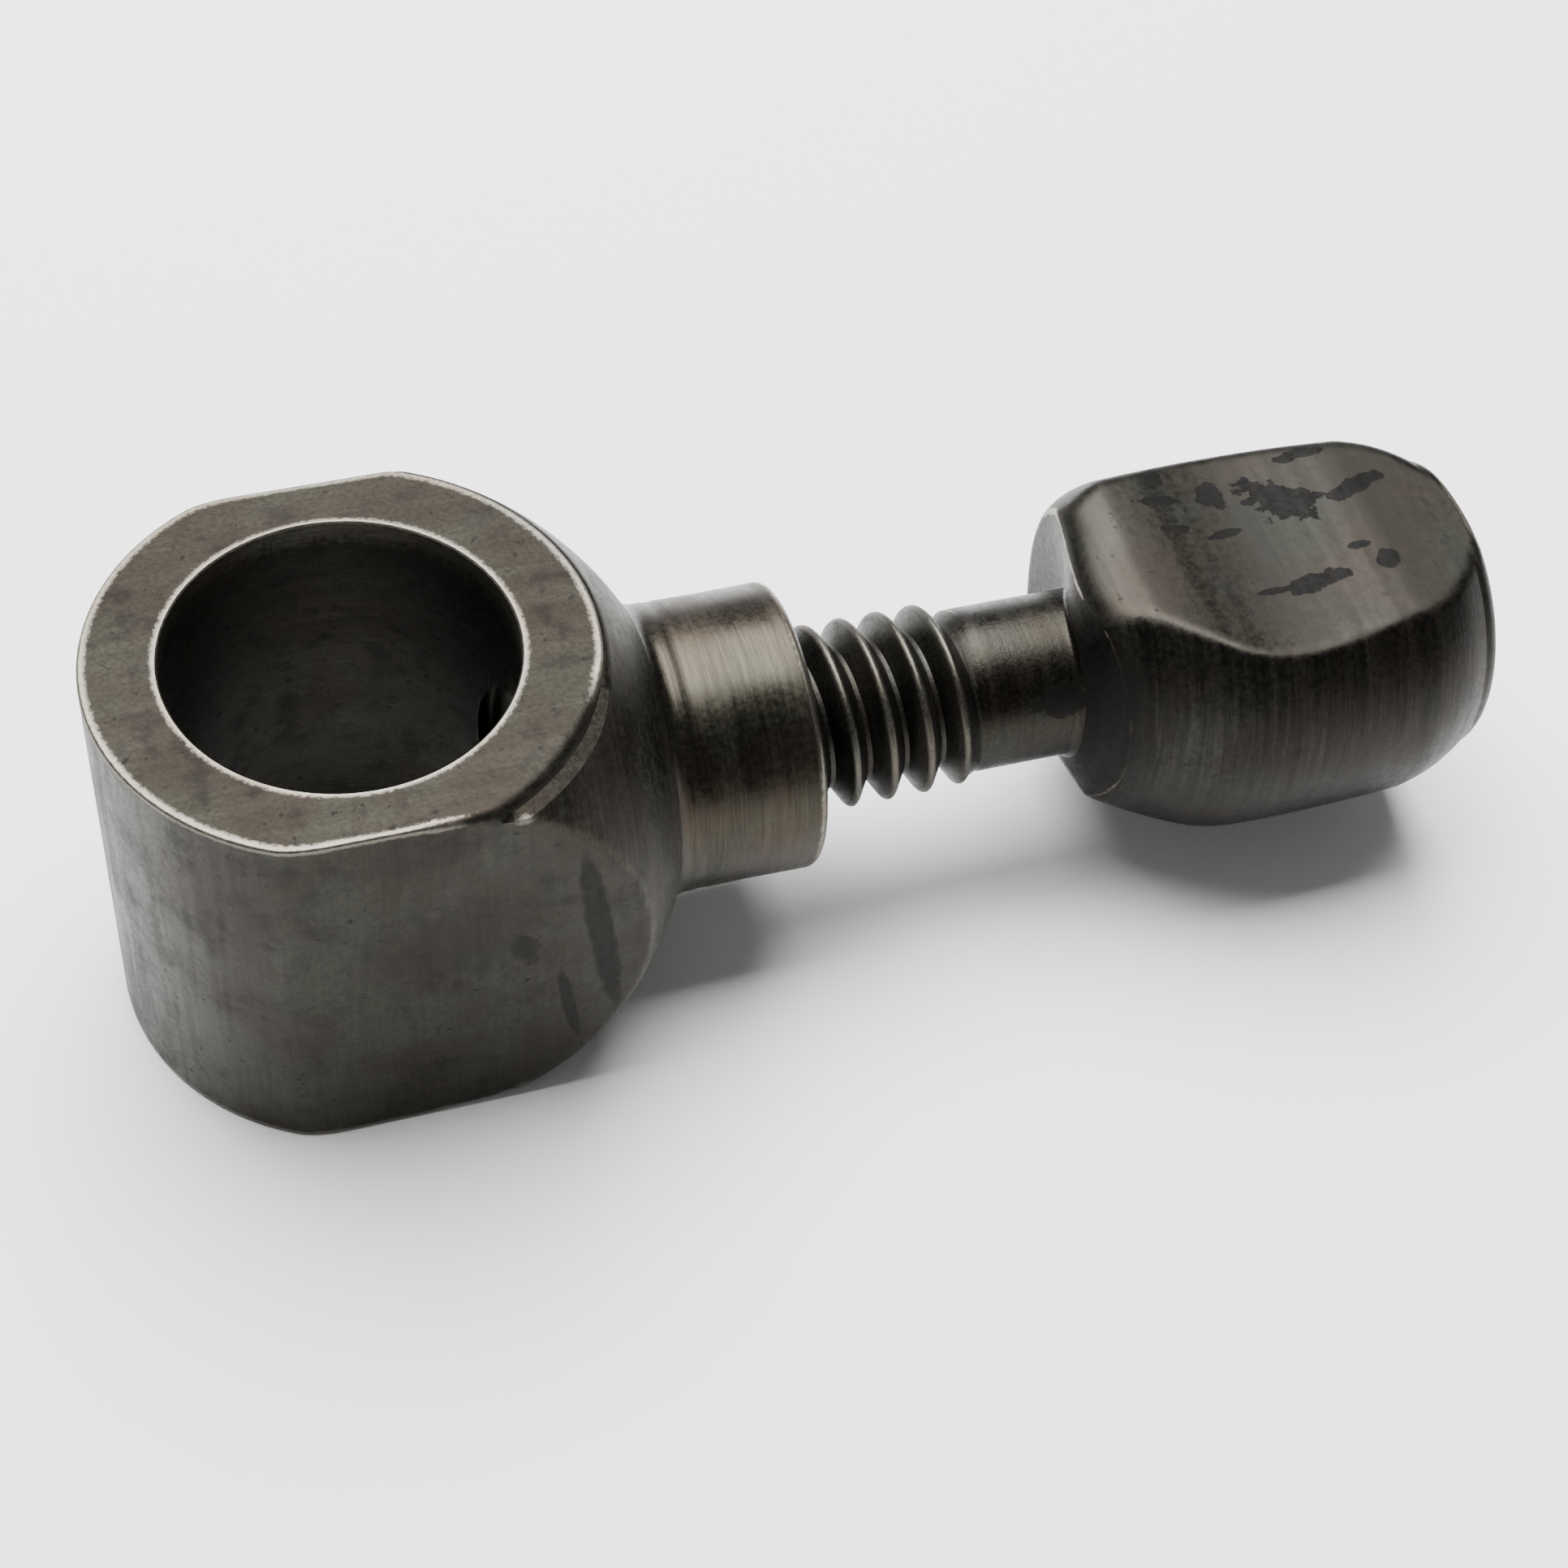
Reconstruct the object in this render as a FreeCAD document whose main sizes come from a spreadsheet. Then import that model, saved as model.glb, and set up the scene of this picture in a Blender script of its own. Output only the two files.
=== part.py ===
import FreeCAD, Part

# A small clamp eye. A bored, ball-turned eye has a neck that is tapped right through into the bore,
# and a scooped thumb screw in the neck clamps whatever rod passes through the eye. A loose brass pad
# on the tip of the screw saves the rod from being marked.
# +Z runs along the bore, +X along the neck and the screw. The origin is the centre of the eye.

import math
import os
import re

import Sketcher

V = FreeCAD.Vector

# Driving sizes in mm. Places are distances from the eye's centre along the neck.
SIZES = {
    # eye and neck
    "bore_diameter": 10.9,
    "edge_break": 0.15,
    "eye_height": 14.6,
    "eye_diameter": 15.6,
    "flat_width": 14.5,
    "ball_diameter": 21.5,
    "neck_diameter": 9.525,
    "neck_end": 14.5,
    "neck_edge_round": 0.35,
    # thread
    "thread_diameter": 6.2,
    "thread_pitch": 1.27,
    "thread_depth": 0.75,
    "thread_crest_place": 18.26,
    "thread_gap": 0.07,
    "tapped_minor_diameter": 5.0,
    "tapped_major_diameter": 6.42,
    "mouth_diameter": 6.8,
    # thumb screw
    "tip_place": 7.6,
    "tip_chamfer": 0.6,
    "thread_end": 20.1,
    "shank_diameter": 5.5,
    "head_start": 25.1,
    "front_cone_length": 0.7,
    "front_cone_radius": 4.1,
    "head_end": 37.95,
    "head_diameter": 12.4,
    "crown_drop": 0.15,
    "shoulder_radius": 0.7,
    "nose_length": 2.9,
    "nose_drop": 1.0,
    "end_drop": 0.6,
    "scoop_radius": 14.0,
    "scoop_place": 30.6,
    "grip_thickness": 8.4,
    "grip_front_height": 4.57,
    "grip_front_round": 1.0,
    "grip_front_round_length": 0.9,
    "dressing_offset_y": 0.88,
    "dressing_offset_z": 0.22,
    "dressing_face_radius": 4.9,
    "dressing_length": 4.9,
    "dressing_run_out": 0.95,
    "dressing_radius": 10.0,
    # clamp pad
    "pad_front": 5.9,
    "pad_diameter": 4.6,
    "pad_gap": 0.1,
    "spigot_diameter": 2.0,
    "spigot_length": 2.2,
    "spigot_gap": 0.08,
}

doc = FreeCAD.newDocument("clamp_eye")


def make_sheet():
    """Write every driving size into the spreadsheet under its own alias."""
    made = doc.addObject("Spreadsheet::Sheet", "Sizes")
    for row, (name, value) in enumerate(SIZES.items(), start=1):
        made.set(f"A{row}", name)
        made.set(f"B{row}", str(value))
        made.setAlias(f"B{row}", name)
    doc.recompute()
    return made


sheet = make_sheet()


def bound(text):
    """Turn a rule written in size names into one that the sheet's cells can drive."""
    return re.sub(r"[a-z_]+", lambda word: f"Sizes.{word[0]}" if word[0] in SIZES else word[0], text)


def value_of(text):
    """Work out a rule's present value."""
    return float(sheet.evalExpression(bound(text)))


def size(name):
    """Read one driving size from the sheet."""
    return float(sheet.get(name))


def new_body(label):
    """Add a body at the origin under its shop-floor name."""
    body = doc.addObject("PartDesign::Body", label)
    body.Label = label
    body.Placement = FreeCAD.Placement()
    return body


def origin_item(body, role):
    """Find one of the body's own origin planes or axes by its role."""
    for item in body.Origin.OriginFeatures:
        if item.Role == role:
            return item
    raise ValueError(f"{body.Label} has no {role}")


def new_sketch(body, role, name, offset=("0", "0", "0")):
    """Add a sketch on one of the body's origin planes, moved by an offset in the sketch's own axes."""
    sketch = body.newObject("Sketcher::SketchObject", name)
    sketch.AttachmentSupport = [(origin_item(body, role), "")]
    sketch.MapMode = "FlatFace"
    for axis, rule in zip("xyz", offset):
        if rule != "0":
            sketch.setExpression(f"AttachmentOffset.Base.{axis}", bound(rule))
    doc.recompute()
    return sketch


def hold_point(sketch, geometry, corner, x_rule, y_rule):
    """Tie one end of a line or arc to its place from the sketch's origin."""
    for kind, rule, axis in (("DistanceX", x_rule, -2), ("DistanceY", y_rule, -1)):
        value = value_of(rule)
        if abs(value) < 1e-9:
            sketch.addConstraint(Sketcher.Constraint("PointOnObject", geometry, corner, axis))
        elif value > 0:
            index = sketch.addConstraint(Sketcher.Constraint(kind, -1, 1, geometry, corner, value))
            sketch.setExpression(f"Constraints[{index}]", bound(rule))
        else:
            index = sketch.addConstraint(Sketcher.Constraint(kind, geometry, corner, -1, 1, -value))
            sketch.setExpression(f"Constraints[{index}]", bound(f"-1 * ({rule})"))


def arc_between(start, end, radius, turn):
    """Make the shorter arc of a radius between two points, bulging left (1) or right (-1) of the way."""
    chord = end - start
    across = V(-chord.y, chord.x, 0).normalize()
    height = math.sqrt(radius**2 - (chord.Length / 2) ** 2)
    centre = start + chord * 0.5 - across * (turn * height)
    middle = centre + across * (turn * radius)
    return Part.Arc(start, middle, end)


def draw_outline(sketch, points):
    """Draw a closed outline of size rules: (x, y), or (x, y, radius, turn) for an arc to that point."""
    places = [V(value_of(point[0]), value_of(point[1]), 0) for point in points]
    first = sketch.GeometryCount
    count = len(points)
    for index in range(count):
        start, end = places[index - 1], places[index]
        if len(points[index]) == 4:
            radius_rule, turn = points[index][2:]
            sketch.addGeometry(arc_between(start, end, value_of(radius_rule), turn))
        else:
            sketch.addGeometry(Part.LineSegment(start, end))
    for index in range(count):
        here = first + index
        after = first + (index + 1) % count
        is_arc = len(points[index]) == 4
        clockwise = is_arc and points[index][3] > 0
        after_clockwise = len(points[(index + 1) % count]) == 4 and points[(index + 1) % count][3] > 0
        here_end = 1 if clockwise else 2
        after_start = 2 if after_clockwise else 1
        sketch.addConstraint(Sketcher.Constraint("Coincident", here, here_end, after, after_start))
        hold_point(sketch, here, here_end, points[index][0], points[index][1])
        if is_arc:
            radius = value_of(points[index][2])
            held = sketch.addConstraint(Sketcher.Constraint("Radius", here, radius))
            sketch.setExpression(f"Constraints[{held}]", bound(points[index][2]))
    doc.recompute()
    return sketch


def draw_circle(sketch, x_rule, y_rule, radius_rule):
    """Draw a circle from size rules."""
    centre = V(value_of(x_rule), value_of(y_rule), 0)
    circle = sketch.addGeometry(Part.Circle(centre, V(0, 0, 1), value_of(radius_rule)))
    hold_point(sketch, circle, 3, x_rule, y_rule)
    held = sketch.addConstraint(Sketcher.Constraint("Radius", circle, value_of(radius_rule)))
    sketch.setExpression(f"Constraints[{held}]", bound(radius_rule))
    doc.recompute()
    return sketch


def feature(body, kind, name, sketch):
    """Add a sketch-driven feature and make it the body's tip."""
    made = body.newObject(f"PartDesign::{kind}", name)
    made.Profile = sketch
    sketch.Visibility = False
    body.Tip = made
    return made


def revolve(body, kind, name, sketch):
    """Turn a sketch a full circle about its own horizontal axis, as a Revolution or a Groove."""
    made = feature(body, kind, name, sketch)
    made.ReferenceAxis = (sketch, ["H_Axis"])
    made.Angle = 360.0
    doc.recompute()
    return made


def cut_both_ways(body, name, sketch, length_rule):
    """Pocket a sketch the same depth to each side of its plane, and check that it took metal away."""
    before = body.Shape.Volume
    made = feature(body, "Pocket", name, sketch)
    made.Type = 0
    made.Midplane = True
    made.setExpression("Length", bound(length_rule))
    doc.recompute()
    if made.Shape.Volume >= before:
        raise ValueError(f"{name} cuts nothing")
    return made


def cut_thread(body, name, sketch, length_rule):
    """Cut a right-handed helical groove along +X with the sketched tooth, and check the volume."""
    before = body.Shape.Volume
    made = feature(body, "SubtractiveHelix", name, sketch)
    made.ReferenceAxis = (sketch, ["H_Axis"])
    made.Mode = 0
    made.setExpression("Pitch", bound("thread_pitch"))
    made.setExpression("Height", bound(length_rule))
    made.Angle = 0
    made.LeftHanded = False
    made.Reversed = False
    doc.recompute()
    if made.Shape.Volume >= before:
        raise ValueError(f"{name} cuts nothing")
    return made


def face_edges(shape, height):
    """Name the edges that lie flat at a height."""
    names = []
    for index, edge in enumerate(shape.Edges, start=1):
        if all(abs(place.z - height) < 1e-4 for place in edge.discretize(5)):
            names.append(f"Edge{index}")
    return names


def make_eye_collar():
    """Turn the ball and neck, mill the eye's faces, then bore, tap and break its edges."""
    body = new_body("eye_collar")

    ball = "ball_diameter / 2"
    neck = "neck_diameter / 2"
    root = f"sqrt(({ball}) ^ 2 - ({neck}) ^ 2)"
    blank = new_sketch(body, "XZ_Plane", "blank_outline")
    draw_outline(blank, [
        (f"-1 * {ball}", "0"),
        ("0", ball, ball, 1),
        (root, neck, ball, 1),
        ("neck_end - neck_edge_round", neck),
        ("neck_end", f"{neck} - neck_edge_round", "neck_edge_round", 1),
        ("neck_end", "0"),
    ])
    revolve(body, "Revolution", "ball_and_neck", blank)

    # The eye's plan has a flat each side and one round end, away from the neck.
    reach = "ball_diameter"
    meet = "-1 * sqrt((eye_diameter / 2) ^ 2 - (flat_width / 2) ^ 2)"
    plan = new_sketch(body, "XY_Plane", "plan_waste")
    draw_outline(plan, [
        (f"-1 * {reach}", f"-1 * {reach}"),
        (reach, f"-1 * {reach}"),
        (reach, reach),
        (f"-1 * {reach}", reach),
    ])
    draw_outline(plan, [
        (meet, "flat_width / -2", "eye_diameter / 2", -1),
        (f"{reach} - 1", "flat_width / -2"),
        (f"{reach} - 1", "flat_width / 2"),
        (meet, "flat_width / 2"),
        ("eye_diameter / -2", "0", "eye_diameter / 2", -1),
    ])
    cut_both_ways(body, "plan_cut", plan, f"2 * {reach}")

    faces = new_sketch(body, "XZ_Plane", "face_waste")
    for low, high in (("eye_height / 2", reach), (f"-1 * {reach}", "eye_height / -2")):
        draw_outline(faces, [
            (f"-1 * {reach}", low),
            (reach, low),
            (reach, high),
            (f"-1 * {reach}", high),
        ])
    cut_both_ways(body, "face_cut", faces, f"2 * {reach}")

    bore = draw_circle(new_sketch(body, "XY_Plane", "bore_circle"), "0", "0", "bore_diameter / 2")
    cut_both_ways(body, "bore", bore, f"2 * {reach}")

    half = size("eye_height") / 2
    bored = body.Tip
    broken = body.newObject("PartDesign::Chamfer", "broken_edges")
    broken.Base = (bored, face_edges(bored.Shape, half) + face_edges(bored.Shape, -half))
    broken.setExpression("Size", bound("edge_break"))
    bored.Visibility = False
    body.Tip = broken
    doc.recompute()

    minor = "tapped_minor_diameter / 2"
    mouth = "mouth_diameter / 2"
    hole = new_sketch(body, "XZ_Plane", "tapped_hole_outline")
    draw_outline(hole, [
        ("0", "0"),
        ("0", minor),
        (f"neck_end - ({mouth} - {minor})", minor),
        ("neck_end", mouth),
        ("neck_end + 1", mouth),
        ("neck_end + 1", "0"),
    ])
    revolve(body, "Groove", "tapped_hole", hole)

    # The tapped groove is the screw's own ridge, grown by the working gap on each flank.
    centre = "thread_crest_place - 11 * thread_pitch"
    low, high = f"{minor} - 0.1", "tapped_major_diameter / 2"
    tooth = new_sketch(body, "XZ_Plane", "tapped_tooth")
    draw_outline(tooth, [
        (f"{centre} - ({ridge_width(low)}) / 2", low),
        (f"{centre} - ({ridge_width(high)}) / 2", high),
        (f"{centre} + ({ridge_width(high)}) / 2", high),
        (f"{centre} + ({ridge_width(low)}) / 2", low),
    ])
    cut_thread(body, "tapped_thread", tooth, "9 * thread_pitch")

    return body


def ridge_width(radius):
    """Give the rule for the width of the tapped groove at a radius."""
    rise = f"({radius} - (thread_diameter / 2 - thread_depth))"
    return f"7 / 8 * thread_pitch - 2 * {rise} * tan(30) + 2 * thread_gap / cos(30)"


def groove_width(radius):
    """Give the rule for the width of the screw's own thread groove at a radius."""
    rise = f"({radius} - (thread_diameter / 2 - thread_depth))"
    return f"thread_pitch / 8 + 2 * {rise} * tan(30)"


def make_thumb_screw():
    """Turn the screw and its head, dress one shoulder, scoop the grips, then cut the thread."""
    body = new_body("thumb_screw")

    thread = "thread_diameter / 2"
    shank = "shank_diameter / 2"
    crown = "(head_diameter / 2 - crown_drop)"
    blank = new_sketch(body, "XZ_Plane", "screw_outline")
    draw_outline(blank, [
        ("tip_place", "0"),
        ("tip_place", f"{thread} - tip_chamfer"),
        ("tip_place + tip_chamfer", thread),
        ("thread_end", thread),
        (f"thread_end + ({thread} - {shank})", shank),
        ("head_start - front_cone_length", shank),
        ("head_start", "front_cone_radius"),
        ("head_start", f"{crown} - shoulder_radius"),
        ("head_start + shoulder_radius", crown, "shoulder_radius", 1),
        ("head_end - nose_length", crown, "5.5 * head_diameter", 1),
        ("head_end - end_drop", f"{crown} - nose_drop", "nose_length * 1.9", 1),
        ("head_end", f"{crown} - nose_drop - end_drop", "end_drop * 1.2", 1),
        ("head_end", "0"),
    ])
    revolve(body, "Revolution", "turned_blank", blank)

    # One shoulder of the head has been dressed away, off the centre of the turning.
    face = "dressing_face_radius"
    dressing = new_sketch(body, "XZ_Plane", "dressing_outline",
                          ("0", "-1 * dressing_offset_z", "-1 * dressing_offset_y"))
    draw_outline(dressing, [
        ("head_start - 1", face),
        ("head_start", face),
        ("head_start + dressing_length", "head_diameter / 2 + dressing_run_out", "dressing_radius", 1),
        ("head_start + dressing_length", "head_diameter"),
        ("head_start - 1", "head_diameter"),
    ])
    revolve(body, "Groove", "dressed_shoulder", dressing)

    # Toward the shank each grip levels off and then rounds down to the head's face.
    front_drop = "(grip_front_round - sqrt(grip_front_round ^ 2 - grip_front_round_length ^ 2))"
    for side, turn, name in (("", 1, "top"), ("-1 * ", -1, "bottom")):
        scoop = new_sketch(body, "XZ_Plane", f"{name}_scoop_circle")
        draw_circle(scoop, "scoop_place", f"{side}(grip_thickness / 2 + scoop_radius)", "scoop_radius")
        cut_both_ways(body, f"{name}_scoop", scoop, "2 * head_diameter")
        low = f"{side}(grip_front_height - {front_drop})"
        level = f"{side}grip_front_height"
        clear = f"{side}head_diameter"
        front = new_sketch(body, "XZ_Plane", f"{name}_front_outline")
        draw_outline(front, [
            ("head_start - 1", low),
            ("head_start", low),
            ("head_start + grip_front_round_length", level, "grip_front_round", turn),
            ("scoop_place", level),
            ("scoop_place", clear),
            ("head_start - 1", clear),
        ])
        cut_both_ways(body, f"{name}_front", front, "2 * head_diameter")

    spigot = "spigot_diameter / 2 + spigot_gap"
    socket = new_sketch(body, "XZ_Plane", "socket_outline")
    draw_outline(socket, [
        ("tip_place - 1", "0"),
        ("tip_place - 1", spigot),
        ("tip_place + spigot_length + 0.2", spigot),
        ("tip_place + spigot_length + 0.2", "0"),
    ])
    revolve(body, "Groove", "pad_socket", socket)

    centre = "thread_crest_place - 9.5 * thread_pitch"
    low, high = f"{thread} - thread_depth", f"{thread} + 0.12"
    tooth = new_sketch(body, "XZ_Plane", "thread_tooth")
    draw_outline(tooth, [
        (f"{centre} - ({groove_width(low)}) / 2", low),
        (f"{centre} - ({groove_width(high)}) / 2", high),
        (f"{centre} + ({groove_width(high)}) / 2", high),
        (f"{centre} + ({groove_width(low)}) / 2", low),
    ])
    cut_thread(body, "thread", tooth, "11 * thread_pitch")
    return body


def make_clamp_pad():
    """Turn the brass pad with its spigot."""
    body = new_body("clamp_pad")
    back = "tip_place - pad_gap"
    pad = "pad_diameter / 2"
    outline = new_sketch(body, "XZ_Plane", "pad_outline")
    draw_outline(outline, [
        ("pad_front", "0"),
        ("pad_front", f"{pad} - edge_break"),
        ("pad_front + edge_break", pad),
        (f"{back} - edge_break", pad),
        (back, f"{pad} - edge_break"),
        (back, "spigot_diameter / 2"),
        (f"{back} + spigot_length", "spigot_diameter / 2"),
        (f"{back} + spigot_length", "0"),
    ])
    revolve(body, "Revolution", "turned_pad", outline)
    return body


def check_all(bodies):
    """Stop on any object in error and on any null, broken or split solid."""
    for item in doc.Objects:
        if {"Invalid", "Error"} & set(item.State):
            raise ValueError(f"{item.Label} is in error: {item.State}")
    for body in bodies:
        shape = body.Shape
        if shape.isNull() or not shape.isValid() or len(shape.Solids) != 1:
            raise ValueError(f"{body.Label} isn't one sound solid")
        box = shape.BoundBox
        print(f"{body.Label}: {shape.Volume:.1f} mm3, x {box.XMin:.2f} to {box.XMax:.2f},"
              f" y {box.YMin:.2f} to {box.YMax:.2f}, z {box.ZMin:.2f} to {box.ZMax:.2f}")


bodies = [make_eye_collar(), make_thumb_screw(), make_clamp_pad()]
doc.recompute()
check_all(bodies)
os.makedirs("parts", exist_ok=True)
for body in bodies:
    body.Shape.exportStep(f"parts/{body.Label}.step")
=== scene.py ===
import logging
import math
from dataclasses import dataclass, field
from enum import Enum
from typing import Callable, Iterator, Optional, Sequence, Union

import bpy
import numpy as np
from mathutils import Matrix, Vector


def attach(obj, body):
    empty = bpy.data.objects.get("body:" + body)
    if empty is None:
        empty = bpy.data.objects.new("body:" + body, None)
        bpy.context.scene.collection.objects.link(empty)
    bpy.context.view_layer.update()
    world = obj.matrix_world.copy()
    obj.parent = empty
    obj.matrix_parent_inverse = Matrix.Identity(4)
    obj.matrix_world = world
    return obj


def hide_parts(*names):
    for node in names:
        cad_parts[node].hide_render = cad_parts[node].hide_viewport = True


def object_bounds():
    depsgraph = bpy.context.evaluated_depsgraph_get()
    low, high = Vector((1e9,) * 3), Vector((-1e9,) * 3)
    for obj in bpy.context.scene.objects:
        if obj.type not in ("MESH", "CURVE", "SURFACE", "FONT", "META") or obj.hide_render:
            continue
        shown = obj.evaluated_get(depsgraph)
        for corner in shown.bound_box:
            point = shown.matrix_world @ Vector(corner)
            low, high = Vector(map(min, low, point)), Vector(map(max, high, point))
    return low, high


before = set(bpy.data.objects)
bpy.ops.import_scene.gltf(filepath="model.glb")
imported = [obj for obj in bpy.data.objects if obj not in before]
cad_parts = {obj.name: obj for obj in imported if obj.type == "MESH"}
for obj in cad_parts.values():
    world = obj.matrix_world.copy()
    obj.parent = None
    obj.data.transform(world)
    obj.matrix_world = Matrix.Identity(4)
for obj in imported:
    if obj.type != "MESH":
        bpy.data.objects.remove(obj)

MM = 0.001
CAD_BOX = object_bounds()
log = logging.getLogger("clamp_eye")

NECK_AXIS = (1.0, 0.0, 0.0)
SMOOTH_UNDER_DEG = 32.0
WEAR_CURVATURE = (1.2, 4.5)  # per mm: where edge wear begins, and where it is full
FLOOR_GAP = 0.02 * MM

Point = tuple[float, float]


# ---------------------------------------------------------------- mesh tools


def deselect_all() -> None:
    """Leave nothing selected or active."""
    if bpy.context.mode != "OBJECT":
        bpy.ops.object.mode_set(mode="OBJECT")
    bpy.ops.object.select_all(action="DESELECT")


def only(piece: bpy.types.Object) -> None:
    """Select one piece alone and make it active."""
    deselect_all()
    piece.select_set(True)
    bpy.context.view_layer.objects.active = piece


def apply_all(piece: bpy.types.Object) -> None:
    """Apply every modifier on a piece, top first."""
    only(piece)
    for modifier in list(piece.modifiers):
        bpy.ops.object.modifier_apply(modifier=modifier.name)


def cut_or_join(piece: bpy.types.Object, tool: bpy.types.Object, operation: str) -> None:
    """Combine a piece with a tool body, which is used up.

    Args:
        piece: the piece that is kept.
        tool: the closed body to add to it or take from it.
        operation: UNION, DIFFERENCE or INTERSECT.
    """
    boolean = piece.modifiers.new(operation.lower(), "BOOLEAN")
    boolean.operation = operation
    boolean.solver = "EXACT"
    boolean.object = tool
    apply_all(piece)
    mesh = tool.data
    bpy.data.objects.remove(tool, do_unlink=True)
    bpy.data.meshes.remove(mesh)


def shade(piece: bpy.types.Object, angle_deg: float) -> None:
    """Shade a piece smooth, except over edges sharper than an angle."""
    only(piece)
    bpy.ops.object.shade_smooth_by_angle(angle=math.radians(angle_deg))


def clean(piece: bpy.types.Object, distance: float = 0.0004 * MM) -> None:
    """Merge coincident corners and turn every face outwards."""
    only(piece)
    bpy.ops.object.mode_set(mode="EDIT")
    bpy.ops.mesh.select_all(action="SELECT")
    bpy.ops.mesh.remove_doubles(threshold=distance)
    bpy.ops.mesh.normals_make_consistent(inside=False)
    bpy.ops.object.mode_set(mode="OBJECT")


def places_of(piece: bpy.types.Object) -> np.ndarray:
    """Read a piece's corners as rows of x, y, z."""
    places = np.empty(len(piece.data.vertices) * 3)
    piece.data.vertices.foreach_get("co", places)
    return places.reshape(-1, 3)


def set_places(piece: bpy.types.Object, places: np.ndarray) -> None:
    """Write a piece's corners back."""
    piece.data.vertices.foreach_set("co", places.ravel())
    piece.data.update()


def wire(name: str, points: Sequence[Point]) -> bpy.types.Object:
    """Make the half outline of a turned piece.

    Args:
        name: the piece's name.
        points: (x, radius) from one end to the other, in metres.

    Returns:
        A new object that holds the outline as a line of edges above the X axis.
    """
    mesh = bpy.data.meshes.new(name)
    corners = [(x, 0.0, radius) for x, radius in points]
    mesh.from_pydata(corners, [(i, i + 1) for i in range(len(corners) - 1)], [])
    piece = bpy.data.objects.new(name, mesh)
    bpy.context.scene.collection.objects.link(piece)
    return piece


def spin(piece: bpy.types.Object, steps: int) -> None:
    """Spin an outline a full turn about the X axis, in a number of facets."""
    only(piece)
    bpy.ops.object.mode_set(mode="EDIT")
    bpy.ops.mesh.select_all(action="SELECT")
    bpy.ops.mesh.spin(steps=steps, dupli=False, angle=2 * math.pi, use_auto_merge=True,
                      center=(0, 0, 0), axis=NECK_AXIS)
    bpy.ops.object.mode_set(mode="OBJECT")


def wind(piece: bpy.types.Object, steps: int, advance: float) -> None:
    """Wind an outline one right-handed turn about the X axis.

    Args:
        piece: the outline.
        steps: facets round the turn.
        advance: how far it travels along +X in the turn.
    """
    screw = piece.modifiers.new("winding", "SCREW")
    screw.axis = "X"
    screw.angle = 2 * math.pi
    screw.screw_offset = advance
    screw.steps = steps
    screw.render_steps = steps
    screw.use_merge_vertices = False
    apply_all(piece)


def close_ends(piece: bpy.types.Object) -> None:
    """Merge the seam of a wound sheet and fill its two open ends."""
    only(piece)
    bpy.ops.object.mode_set(mode="EDIT")
    bpy.ops.mesh.select_all(action="SELECT")
    bpy.ops.mesh.remove_doubles(threshold=0.002 * MM)
    bpy.ops.mesh.select_all(action="DESELECT")
    bpy.ops.mesh.select_mode(type="EDGE")
    bpy.ops.mesh.select_non_manifold(extend=False, use_wire=False, use_boundary=True, use_multi_face=False,
                                     use_non_contiguous=False, use_verts=False)
    bpy.ops.mesh.fill_holes(sides=0)
    bpy.ops.mesh.select_mode(type="VERT")
    bpy.ops.mesh.select_all(action="SELECT")
    bpy.ops.mesh.normals_make_consistent(inside=False)
    bpy.ops.object.mode_set(mode="OBJECT")


def turned(name: str, points: Sequence[Point], steps: int) -> bpy.types.Object:
    """Turn a closed round piece from its half outline.

    Args:
        name: the piece's name.
        points: (x, radius) from one end on the axis to the other, in metres.
        steps: facets round the piece.

    Returns:
        The closed piece.
    """
    piece = wire(name, points)
    spin(piece, steps)
    clean(piece)
    return piece


def arc(start: Point, end: Point, radius: float, bulge: int, count: int) -> list[Point]:
    """Divide a circular arc between two points, without its first point.

    Args:
        start: where it starts.
        end: where it ends.
        radius: its radius.
        bulge: 1 if it bulges to the left of the way, -1 to the right.
        count: the number of steps.

    Returns:
        The arc's points after the first.
    """
    a, b = np.array(start), np.array(end)
    chord = b - a
    length = float(np.hypot(*chord))
    across = np.array([-chord[1], chord[0]]) / length
    centre = (a + b) / 2 - across * bulge * math.sqrt(max(radius**2 - (length / 2) ** 2, 0.0))
    first = math.atan2(*(a - centre)[::-1])
    sweep = (math.atan2(*(b - centre)[::-1]) - first + math.pi) % (2 * math.pi) - math.pi
    angles = [first + sweep * (i + 1) / count for i in range(count)]
    return [(centre[0] + radius * math.cos(t), centre[1] + radius * math.sin(t)) for t in angles]


def line(start: Point, end: Point, step: float) -> list[Point]:
    """Divide a straight run into steps of about a length, without its first point."""
    count = max(1, round(math.dist(start, end) / step))
    return [tuple(np.array(start) + (np.array(end) - np.array(start)) * (i + 1) / count)
            for i in range(count)]


def soft_min(a: np.ndarray, b: np.ndarray, width: float) -> np.ndarray:
    """Take the lesser of two surfaces, rounding the edge where they cross over a width."""
    blend = np.clip(0.5 + 0.5 * (b - a) / width, 0.0, 1.0)
    return b + (a - b) * blend - width * blend * (1.0 - blend)


def ease(value: np.ndarray, low: float, high: float) -> np.ndarray:
    """Rise smoothly from 0 at low to 1 at high."""
    t = np.clip((value - low) / (high - low), 0.0, 1.0)
    return t * t * (3.0 - 2.0 * t)


# ------------------------------------------------------------------- thread


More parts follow.
